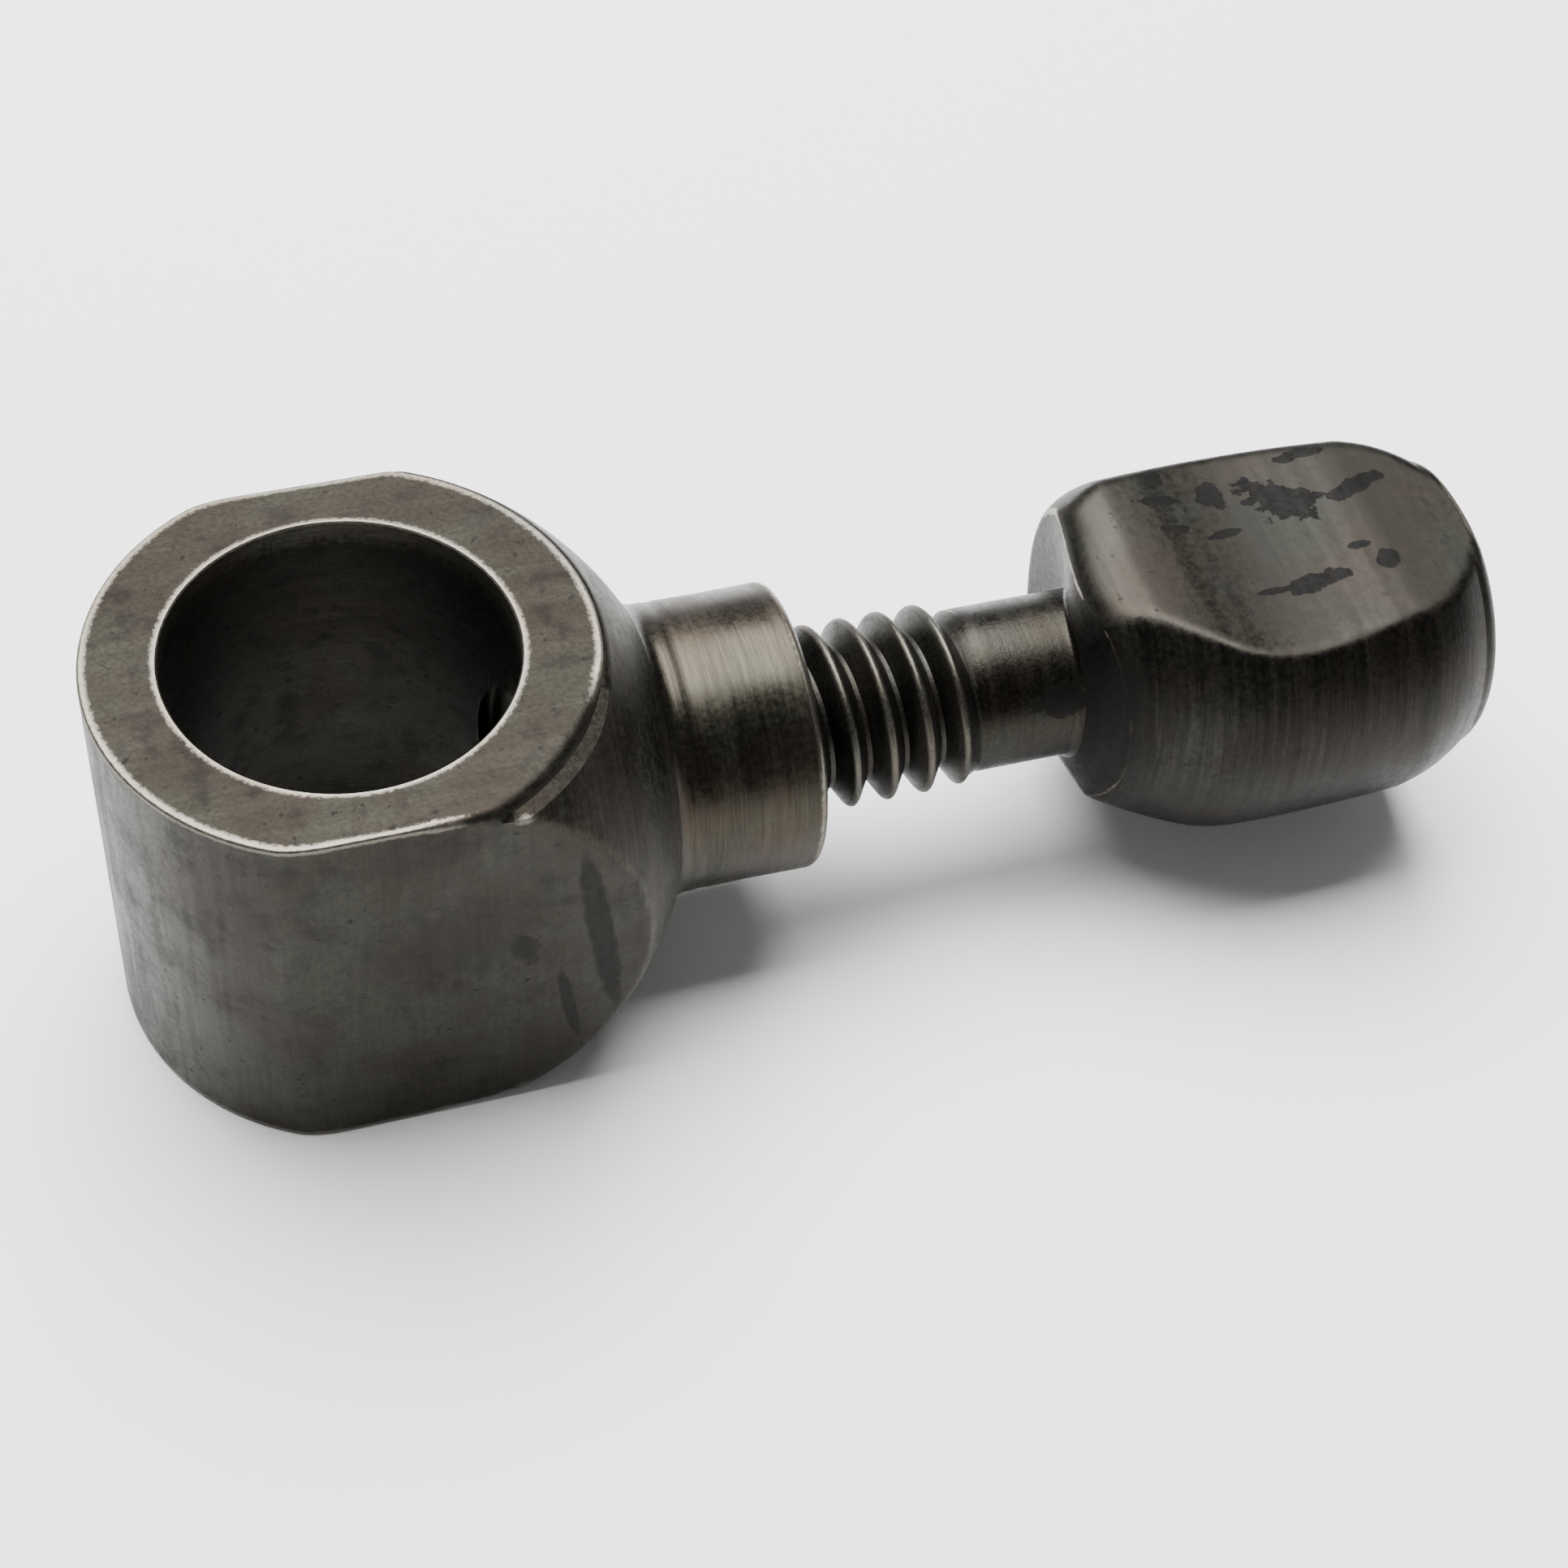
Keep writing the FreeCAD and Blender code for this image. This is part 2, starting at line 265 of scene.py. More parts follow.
@dataclass
class Thread:
    """A right-handed screw thread along the neck's axis. Sizes are in metres.

    The crest passes over the top (+Z) of the axis at crest_place and at every pitch from there.
    """

    pitch: float = 1.27 * MM
    crest_place: float = 18.26 * MM
    crest_radius: float = 3.1 * MM
    root_radius: float = 2.35 * MM
    crest_width: float = 0.2 * MM
    root_width: float = 0.16 * MM
    steps: int = 160

    def tooth(self) -> list[Point]:
        """Give one tooth's outline from root to root, as (place from the crest, radius)."""
        crest, root, half = self.crest_width / 2, self.root_width / 2, self.pitch / 2
        soft = 0.05 * MM
        return [
            (-half, self.root_radius),
            (-half + root, self.root_radius + 0.3 * soft),
            (-crest - 1.2 * soft, self.crest_radius - 2.2 * soft),
            (-crest, self.crest_radius - 0.8 * soft),
            (-crest / 3, self.crest_radius),
            (crest / 3, self.crest_radius),
            (crest, self.crest_radius - 0.8 * soft),
            (crest + 1.2 * soft, self.crest_radius - 2.2 * soft),
            (half - root, self.root_radius + 0.3 * soft),
        ]

    def cut(self, name: str, start: float, end: float,
            shape: Optional[Callable[[np.ndarray], np.ndarray]] = None) -> bpy.types.Object:
        """Make a threaded bar between two places.

        Args:
            name: the piece's name.
            start: its lower end along +X.
            end: its upper end.
            shape: an optional change to the wound corners, made before the ends are cut off flat.

        Returns:
            The closed bar.
        """
        first = math.floor((start - self.crest_place) / self.pitch) - 2
        last = math.ceil((end - self.crest_place) / self.pitch) + 1
        points = [(self.crest_place + turn * self.pitch + place, radius)
                  for turn in range(first, last + 1) for place, radius in self.tooth()]
        piece = wire(name, points)
        wind(piece, self.steps, self.pitch)
        close_ends(piece)
        if shape is not None:
            set_places(piece, shape(places_of(piece)))
        reach = 2 * self.crest_radius
        run = turned("run", [(start, 0.0), (start, reach), (end, reach), (end, 0.0)], 48)
        cut_or_join(piece, run, "INTERSECT")
        clean(piece)
        return piece


# ------------------------------------------------------------------- finishes


Socket = bpy.types.NodeSocket
Given = Union[Socket, float, tuple]
Colour = tuple[float, float, float]


class Marks(Enum):
    """The way that tool marks run, as how fast they change along X, Y and Z."""

    ROUND_NECK = (1.0, 0.035, 0.035)
    ROUND_BORE = (0.05, 0.05, 1.0)
    UPRIGHT = (1.0, 1.0, 0.06)
    LENGTHWISE = (0.06, 1.0, 1.0)
    CROSSWISE = (1.0, 0.06, 1.0)


class Net:
    """A node tree that is being wired."""

    def __init__(self, tree: bpy.types.NodeTree) -> None:
        """Take over a tree."""
        self.tree = tree

    def add(self, kind: str, **settings: object) -> bpy.types.Node:
        """Add a node of a kind with its settings."""
        node = self.tree.nodes.new(kind)
        for name, value in settings.items():
            setattr(node, name, value)
        return node

    def give(self, socket: Socket, value: Given) -> None:
        """Link a socket to another, or set it to a constant."""
        if isinstance(value, bpy.types.NodeSocket):
            self.tree.links.new(value, socket)
        else:
            socket.default_value = value

    def sum(self, operation: str, a: Given, b: Given = 0.0, clamp: bool = False) -> Socket:
        """Join two values by a sum such as ADD or MULTIPLY."""
        node = self.add("ShaderNodeMath", operation=operation, use_clamp=clamp)
        self.give(node.inputs[0], a)
        self.give(node.inputs[1], b)
        return node.outputs[0]

    def rise(self, value: Given, low: Given, high: Given, bottom: Given = 0.0, top: Given = 1.0) -> Socket:
        """Rise smoothly from bottom to top as a value goes from low to high."""
        node = self.add("ShaderNodeMapRange", interpolation_type="SMOOTHSTEP")
        for socket, given in zip(node.inputs, (value, low, high, bottom, top)):
            self.give(socket, given)
        return node.outputs[0]

    def between(self, share: Given, a: Given, b: Given) -> Socket:
        """Mix two values by a share."""
        node = self.add("ShaderNodeMix", data_type="FLOAT")
        for socket, given in zip((node.inputs[0], node.inputs[2], node.inputs[3]), (share, a, b)):
            self.give(socket, given)
        return node.outputs[0]

    def mix(self, share: Given, a: Given, b: Given, blend: str = "MIX") -> Socket:
        """Mix two colours by a share."""
        node = self.add("ShaderNodeMix", data_type="RGBA", blend_type=blend)
        for socket, given in zip((node.inputs[0], node.inputs[6], node.inputs[7]), (share, a, b)):
            self.give(socket, (*given, 1.0) if isinstance(given, tuple) else given)
        return node.outputs[2]

    def grey(self, value: Socket) -> Socket:
        """Spread a value over the three channels of a colour."""
        node = self.add("ShaderNodeCombineColor")
        for socket in node.inputs:
            self.give(socket, value)
        return node.outputs[0]

    def noise(self, vector: Given, scale: Given, detail: float = 4.0, rough: float = 0.55) -> Socket:
        """Add a noise from 0 to 1."""
        node = self.add("ShaderNodeTexNoise")
        self.give(node.inputs["Vector"], vector)
        self.give(node.inputs["Scale"], scale)
        self.give(node.inputs["Detail"], detail)
        self.give(node.inputs["Roughness"], rough)
        return node.outputs["Fac"]

    def mapped(self, vector: Socket, scale: tuple, place: tuple = (0, 0, 0), turn: tuple = (0, 0, 0),
               kind: str = "POINT") -> Socket:
        """Scale, turn and move a vector."""
        node = self.add("ShaderNodeMapping", vector_type=kind)
        self.give(node.inputs["Vector"], vector)
        node.inputs["Location"].default_value = place
        node.inputs["Rotation"].default_value = turn
        node.inputs["Scale"].default_value = scale
        return node.outputs[0]

    def effect(self, tree: bpy.types.NodeTree, **given: Given) -> bpy.types.NodeOutputs:
        """Place a shared effect with its values."""
        node = self.add("ShaderNodeGroup", node_tree=tree)
        for name, value in given.items():
            self.give(node.inputs[name.replace("_", " ")], value)
        return node.outputs


class Effect:
    """A shared effect: a shader node group with named inputs and outputs, built once."""

    title = "effect"
    takes: dict[str, str] = {}
    puts: tuple[str, ...] = ()

    @classmethod
    def tree(cls) -> bpy.types.NodeTree:
        """Give the group, building it the first time."""
        made = bpy.data.node_groups.get(cls.title)
        if made is not None:
            return made
        made = bpy.data.node_groups.new(cls.title, "ShaderNodeTree")
        for name, kind in cls.takes.items():
            made.interface.new_socket(name=name, in_out="INPUT", socket_type=f"NodeSocket{kind}")
        for name in cls.puts:
            made.interface.new_socket(name=name, in_out="OUTPUT", socket_type="NodeSocketFloat")
        net = Net(made)
        entry = net.add("NodeGroupInput")
        leave = net.add("NodeGroupOutput")
        for name, value in cls.wire(net, entry.outputs).items():
            net.give(leave.inputs[name], value)
        return made

    @staticmethod
    def wire(net: Net, given: bpy.types.NodeOutputs) -> dict[str, Socket]:
        """Wire the effect from its inputs and give its outputs by name."""
        raise NotImplementedError


class ToolMarks(Effect):
    """Fine lines left by a tool, close together and of uneven depth."""

    title = "tool_marks"
    takes = {"Vector": "Vector"}
    puts = ("Lines", "Bands")

    @staticmethod
    def wire(net: Net, given: bpy.types.NodeOutputs) -> dict[str, Socket]:
        """Blend coarse and fine lines, and keep the broad bands apart."""
        coarse = net.noise(given["Vector"], 1.0, 2.0, 0.7)
        fine = net.noise(given["Vector"], 3.3, 3.0, 0.75)
        lines = net.rise(net.between(0.5, coarse, fine), 0.3, 0.7)
        bands = net.rise(net.noise(given["Vector"], 0.23, 2.0, 0.6), 0.34, 0.66)
        return {"Lines": lines, "Bands": bands}


class OldOxide(Effect):
    """The mottling of old handled steel: broad tone, patches with crisp edges, grain and specks."""

    title = "old_oxide"
    takes = {"Vector": "Vector", "Scale": "Float", "Cover": "Float"}
    puts = ("Tone", "Patches", "Grain", "Specks")

    @staticmethod
    def wire(net: Net, given: bpy.types.NodeOutputs) -> dict[str, Socket]:
        """Layer four sizes of noise, each at its own share of the scale."""
        scale = given["Scale"]
        tone = net.rise(net.noise(given["Vector"], scale, 3.0, 0.6), 0.32, 0.68)
        start = net.sum("SUBTRACT", 0.72, net.sum("MULTIPLY", given["Cover"], 0.44))
        patchy = net.noise(given["Vector"], net.sum("MULTIPLY", scale, 2.4), 9.0, 0.66)
        patches = net.rise(patchy, start, net.sum("ADD", start, 0.16))
        grain = net.rise(net.noise(given["Vector"], net.sum("MULTIPLY", scale, 16.0), 5.0, 0.7), 0.3, 0.7)
        specks = net.rise(net.noise(given["Vector"], net.sum("MULTIPLY", scale, 9.0), 3.0, 0.5), 0.64, 0.72)
        return {"Tone": tone, "Patches": patches, "Grain": grain, "Specks": specks}


class Blot(Effect):
    """A ragged patch, solid inside a reach of one from the centre of the local vector."""

    title = "ragged_blot"
    takes = {"Local": "Vector", "Vector": "Vector", "Scale": "Float", "Ragged": "Float", "Soft": "Float"}
    puts = ("Mask",)

    @staticmethod
    def wire(net: Net, given: bpy.types.NodeOutputs) -> dict[str, Socket]:
        """Shift the distance from the centre by noise and cut it off at one."""
        length = net.add("ShaderNodeVectorMath", operation="LENGTH")
        net.give(length.inputs[0], given["Local"])
        shift = net.sum("SUBTRACT", net.noise(given["Vector"], given["Scale"], 4.0, 0.55), 0.5)
        reach = net.sum("ADD", length.outputs["Value"], net.sum("MULTIPLY", shift, given["Ragged"]))
        outside = net.rise(reach, net.sum("SUBTRACT", 1.0, given["Soft"]), net.sum("ADD", 1.0, given["Soft"]))
        return {"Mask": net.sum("SUBTRACT", 1.0, outside)}


@dataclass(frozen=True)
class StainAndShade:
    """A dark patch at a place on the piece: mostly stains of old oxide, and painted shade in the crease where
    the shank meets the head. Sizes are in mm and turns in degrees.
    """

    centre: tuple[float, float, float]
    reach: tuple[float, float, float]
    turn: tuple[float, float, float] = (0.0, 0.0, 0.0)
    depth: float = 0.85
    ragged: float = 1.6
    soft: float = 0.12

    def mask(self, net: Net, vector: Socket) -> Socket:
        """Wire the stain and give its mask."""
        local = net.mapped(vector, tuple(r * MM for r in self.reach), tuple(c * MM for c in self.centre),
                           tuple(math.radians(t) for t in self.turn), "TEXTURE")
        mask = net.effect(Blot.tree(), Local=local, Vector=vector, Scale=1.7 / MM, Ragged=self.ragged,
                          Soft=self.soft)["Mask"]
        return net.sum("MULTIPLY", mask, self.depth)


@dataclass(frozen=True)
class SteelFinish:
    """One surface of worn steel, from clean metal to old oxide."""

    name: str
    clean: Colour
    oxide: Colour
    worn: Colour = (0.2, 0.185, 0.16)
    gloss: tuple[float, float] = (0.3, 0.55)
    patch_scale: float = 0.22
    cover: float = 0.5
    mottle: float = 0.5
    crisp: float = 0.65
    marks: Marks = Marks.LENGTHWISE
    fineness: float = 9.0
    mark_tint: float = 0.25
    mark_depth: float = 0.5
    grain_tint: float = 0.2
    grain_depth: float = 0.5
    wear: float = 0.8
    bump: float = 0.006
    stains_and_shade: tuple[StainAndShade, ...] = ()

    def build(self) -> bpy.types.Material:
        """Wire the finish.

        Returns:
            The new material.
        """
        made = bpy.data.materials.new(self.name)
        made.use_nodes = True
        net = Net(made.node_tree)
        bsdf = made.node_tree.nodes["Principled BSDF"]
        vector = net.add("ShaderNodeTexCoord").outputs["Object"]
        oxide = net.effect(OldOxide.tree(), Vector=vector, Scale=self.patch_scale / MM, Cover=self.cover)
        stretch = tuple(self.fineness / MM * share for share in self.marks.value)
        marks = net.effect(ToolMarks.tree(), Vector=net.mapped(vector, stretch))
        wear = net.add("ShaderNodeAttribute", attribute_type="GEOMETRY", attribute_name="wear").outputs["Fac"]
        broken = net.sum("SUBTRACT", wear, net.sum("MULTIPLY", oxide["Grain"], 0.35))
        worn = net.sum("MULTIPLY", net.rise(broken, 0.12, 0.6), self.wear)

        dark = net.between(self.crisp, oxide["Tone"], oxide["Patches"])
        dark = net.sum("MULTIPLY", dark, self.mottle)
        speck = net.sum("MULTIPLY", oxide["Specks"], self.mottle)
        dark = net.sum("MAXIMUM", dark, speck)
        dark = net.sum("MULTIPLY", dark, net.sum("SUBTRACT", 1.0, worn))
        # dark patches darken the colour and hold back edge wear: oxide stains, and painted shade in the
        # crease where the shank meets the head
        for dark_patch in self.stains_and_shade:
            mask = dark_patch.mask(net, vector)
            dark = net.sum("MAXIMUM", dark, mask)
            worn = net.sum("MULTIPLY", worn, net.sum("SUBTRACT", 1.0, mask))

        tint = net.sum("ADD", net.rise(marks["Lines"], 0.0, 1.0, 1.0 - self.mark_tint, 1.0 + self.mark_tint),
                       net.rise(marks["Bands"], 0.0, 1.0, -0.5 * self.mark_tint, 0.5 * self.mark_tint))
        tint = net.sum("MULTIPLY", tint,
                       net.rise(oxide["Grain"], 0.0, 1.0, 1.0 - self.grain_tint, 1.0 + self.grain_tint))
        metal = net.mix(worn, self.clean, self.worn)
        hue = net.mix(oxide["Tone"], (0.94, 1.02, 0.98), (1.06, 0.98, 0.92))
        metal = net.mix(1.0, net.mix(1.0, metal, net.grey(tint), "MULTIPLY"), hue, "MULTIPLY")
        net.give(bsdf.inputs["Base Color"], net.mix(dark, metal, self.oxide))

        rough = net.between(dark, self.gloss[0], self.gloss[1])
        rough = net.sum("ADD", rough, net.rise(oxide["Grain"], 0.0, 1.0, -0.05, 0.05))
        rough = net.sum("ADD", rough, net.rise(marks["Bands"], 0.0, 1.0, -0.04, 0.04), clamp=True)
        net.give(bsdf.inputs["Roughness"], rough)
        net.give(bsdf.inputs["Metallic"], net.sum("SUBTRACT", 1.0, net.sum("MULTIPLY", dark, 0.12)))

        height = net.sum("ADD", net.sum("MULTIPLY", marks["Lines"], self.mark_depth),
                         net.sum("MULTIPLY", oxide["Grain"], self.grain_depth))
        height = net.sum("SUBTRACT", height, net.sum("MULTIPLY", dark, 0.6))
        bump = net.add("ShaderNodeBump")
        bump.inputs["Strength"].default_value = 1.0
        bump.inputs["Distance"].default_value = self.bump * MM
        net.give(bump.inputs["Height"], height)
        net.give(bsdf.inputs["Normal"], bump.outputs[0])
        return made


def mark_wear(piece: bpy.types.Object) -> None:
    """Store how strongly each corner is curved outwards, as the attribute that edge wear follows."""
    mesh = piece.data
    places = places_of(piece) / MM
    normals = np.empty(len(mesh.vertices) * 3)
    mesh.vertex_normals.foreach_get("vector", normals)
    normals = normals.reshape(-1, 3)
    pairs = np.empty(len(mesh.edges) * 2, dtype=np.int64)
    mesh.edges.foreach_get("vertices", pairs)
    first, second = pairs.reshape(-1, 2).T
    step = places[second] - places[first]
    length = np.maximum(np.einsum("ij,ij->i", step, step), 1e-4)
    curve = np.einsum("ij,ij->i", normals[second] - normals[first], step) / length
    total = np.zeros(len(mesh.vertices))
    for ends in (first, second):
        np.maximum.at(total, ends, curve)
    total = ease(total, *WEAR_CURVATURE)
    size = len(total)
    count = np.maximum(np.bincount(first, minlength=size) + np.bincount(second, minlength=size), 1)
    near = np.bincount(first, total[second], size) + np.bincount(second, total[first], size)
    total = 0.5 * total + 0.5 * near / count
    mesh.attributes.new("wear", "FLOAT", "POINT").data.foreach_set("value", total.astype(np.float32))


def paint(piece: bpy.types.Object, finishes: Sequence[bpy.types.Material],
          zone_of: Callable[[np.ndarray, np.ndarray], np.ndarray]) -> None:
    """Give each face of a piece one of its finishes.

    Args:
        piece: the finished piece.
        finishes: its materials.
        zone_of: picks a finish by number from the faces' centres and normals.
    """
    mesh = piece.data
    mesh.materials.clear()
    for finish in finishes:
        mesh.materials.append(finish)
    centres, normals = np.empty(len(mesh.polygons) * 3), np.empty(len(mesh.polygons) * 3)
    mesh.polygons.foreach_get("center", centres)
    mesh.polygons.foreach_get("normal", normals)
    zones = zone_of(centres.reshape(-1, 3), normals.reshape(-1, 3))
    mesh.polygons.foreach_set("material_index", zones.astype(np.int32))
    mark_wear(piece)


GRIP_ISLANDS = (  # along, across, height, half length, half width, turn in degrees
    (28.1, 2.85, 4.4, 0.95, 0.24, -6.0),
    (30.0, 2.85, 4.4, 0.5, 0.62, 10.0),
    (28.35, 1.5, 4.4, 0.6, 0.24, 0.0),
    (29.85, 1.05, 4.4, 0.55, 0.2, 12.0),
    (32.1, 2.1, 4.4, 1.5, 0.75, -42.0),
    (32.6, 1.6, 4.4, 0.9, 0.5, 20.0),
    (34.8, 1.85, 4.4, 1.15, 0.36, 22.0),
    (33.6, 3.8, 4.5, 0.9, 0.26, 0.0),
    (32.0, -1.75, 4.4, 1.15, 0.36, 8.0),
    (30.5, -1.75, 4.4, 0.9, 0.14, 0.0),
    (33.85, -0.7, 4.4, 0.45, 0.16, 0.0),
    (34.6, -1.55, 4.5, 0.42, 0.42, 0.0),
    (28.3, 4.0, 4.5, 0.35, 0.4, 0.0),
)


def grip_islands() -> Iterator[StainAndShade]:
    """Give the dark islands of old oxide on the two grips."""
    for side in (1, -1):
        for along, across, height, length, width, turn in GRIP_ISLANDS:
            yield StainAndShade((along, across, height * side), (length, width, 0.9), (0.0, 0.0, turn),
                        depth=1.0, ragged=2.0, soft=0.06)


EYE_WALL = SteelFinish(
    "eye_wall_steel", clean=(0.0311, 0.0287, 0.0239), oxide=(0.0077, 0.00726, 0.00638),
    gloss=(0.42, 0.6), patch_scale=0.26, cover=0.5, mottle=0.75,
    crisp=0.4, marks=Marks.UPRIGHT, fineness=7.0, mark_tint=0.1, mark_depth=0.3, wear=0.6,
    stains_and_shade=(
        StainAndShade((6.3, -7.25, 0.7), (0.42, 0.8, 4.1), (0.0, -8.0, 0.0), ragged=0.6, soft=0.25),
        StainAndShade((5.3, -7.25, -2.7), (0.22, 0.8, 2.1), (0.0, -9.0, 0.0), ragged=0.6, soft=0.25),
        StainAndShade((3.9, -7.25, 0.6), (0.5, 0.8, 0.9), (0.0, -15.0, 0.0), depth=0.7, soft=0.3),
        StainAndShade((2.0, -7.25, 1.6), (2.6, 0.8, 1.9), (0.0, 10.0, 0.0), depth=0.45, ragged=2.4, soft=0.5),
        StainAndShade((-4.2, -7.25, 2.6), (0.8, 0.8, 0.4), depth=0.5),
    ))
EYE_FACE = SteelFinish(
    "eye_face_steel", clean=(0.02, 0.0177, 0.0149), oxide=(0.00756, 0.0068, 0.00588),
    gloss=(0.45, 0.62), patch_scale=0.36, cover=0.5, mottle=0.7,
    marks=Marks.LENGTHWISE, fineness=5.0, mark_tint=0.08, mark_depth=0.15, grain_tint=0.3,
    wear=0.85)
EYE_BALL = SteelFinish(
    "eye_ball_steel", clean=(0.0374, 0.0344, 0.0287), oxide=(0.0104, 0.00981, 0.00862),
    gloss=(0.4, 0.58), patch_scale=0.26, cover=0.5, mottle=0.7,
    crisp=0.4, marks=Marks.ROUND_NECK, fineness=6.0, mark_tint=0.28, mark_depth=0.8)
EYE_NECK = SteelFinish(
    "neck_steel", clean=(0.0357, 0.0318, 0.0259), oxide=(0.0144, 0.0132, 0.012),
    gloss=(0.34, 0.46), patch_scale=0.3, cover=0.2, mottle=0.14,
    crisp=0.4, marks=Marks.ROUND_NECK, fineness=7.0, mark_tint=0.22, mark_depth=1.0,
    grain_depth=0.1, grain_tint=0.1, bump=0.0025)
EYE_BORE = SteelFinish(
    "bore_steel", clean=(0.0373, 0.0347, 0.0309), oxide=(0.012, 0.012, 0.0108),
    gloss=(0.45, 0.6), patch_scale=0.3, cover=0.5, mottle=0.7,
    marks=Marks.ROUND_BORE, fineness=6.0, mark_tint=0.15, mark_depth=0.4, wear=0.6)
HEAD_SIDE = SteelFinish(
    "head_side_steel", clean=(0.0207, 0.0188, 0.0166), oxide=(0.0072, 0.00672, 0.006),
    worn=(0.3, 0.275, 0.24), gloss=(0.4, 0.58), patch_scale=0.28, cover=0.5, mottle=0.5,
    crisp=0.3, marks=Marks.ROUND_NECK, fineness=5.0, mark_tint=0.3, mark_depth=0.7,
    # painted shade: this patch darkens the head's front in the crease where it meets the shank
    stains_and_shade=(StainAndShade((24.6, -2.4, 0.4), (1.7, 2.4, 3.6), ragged=0.8, soft=0.35, depth=0.9),))
HEAD_GRIP = SteelFinish(
    "head_grip_steel", clean=(0.0254, 0.0235, 0.0207), oxide=(0.00594, 0.00561, 0.00507),
    worn=(0.3, 0.275, 0.24), gloss=(0.36, 0.62), patch_scale=0.24, cover=0.12, mottle=0.6,
    marks=Marks.CROSSWISE, fineness=6.0, mark_tint=0.06, mark_depth=0.15, grain_tint=0.1,
    grain_depth=0.25, bump=0.004,
    stains_and_shade=(
        StainAndShade((33.2, 0.5, 4.5), (4.4, 6.5, 2.0), depth=0.42, ragged=1.0, soft=0.45),
        StainAndShade((33.2, 0.5, -4.5), (4.4, 6.5, 2.0), depth=0.42, ragged=1.0, soft=0.45),
    ) + tuple(grip_islands()))
SCREW_SHANK = SteelFinish(
    "shank_steel", clean=(0.0226, 0.0208, 0.0178), oxide=(0.0075, 0.007, 0.00625),
    gloss=(0.32, 0.55), patch_scale=0.45, cover=0.4, mottle=0.55,
    marks=Marks.ROUND_NECK, fineness=6.0, mark_tint=0.15, mark_depth=0.5,
    stains_and_shade=(
        StainAndShade((23.1, -2.3, 1.4), (0.9, 0.7, 0.55), ragged=1.8, soft=0.1, depth=0.95),
        # painted shade: this patch darkens the shank's end in the crease against the head's front
        StainAndShade((24.6, -1.6, 0.6), (0.45, 1.6, 3.0), ragged=1.2, soft=0.3, depth=0.9),
    ))
SCREW_THREAD = SteelFinish(
    "thread_steel", clean=(0.0295, 0.0279, 0.0252), oxide=(0.0096, 0.00896, 0.00832),
    worn=(0.1, 0.094, 0.083), gloss=(0.4, 0.6), patch_scale=0.5, cover=0.5, mottle=0.6,
    marks=Marks.ROUND_NECK, fineness=8.0, mark_tint=0.12, mark_depth=0.4, wear=0.7)
PAD_BRASS = SteelFinish(
    "pad_brass", clean=(0.3, 0.2, 0.075), oxide=(0.06, 0.04, 0.018),
    worn=(0.45, 0.32, 0.14), gloss=(0.3, 0.5), patch_scale=0.5, cover=0.4, mottle=0.5,
    marks=Marks.ROUND_NECK, fineness=7.0)


# --------------------------------------------------------------- sub-assemblies


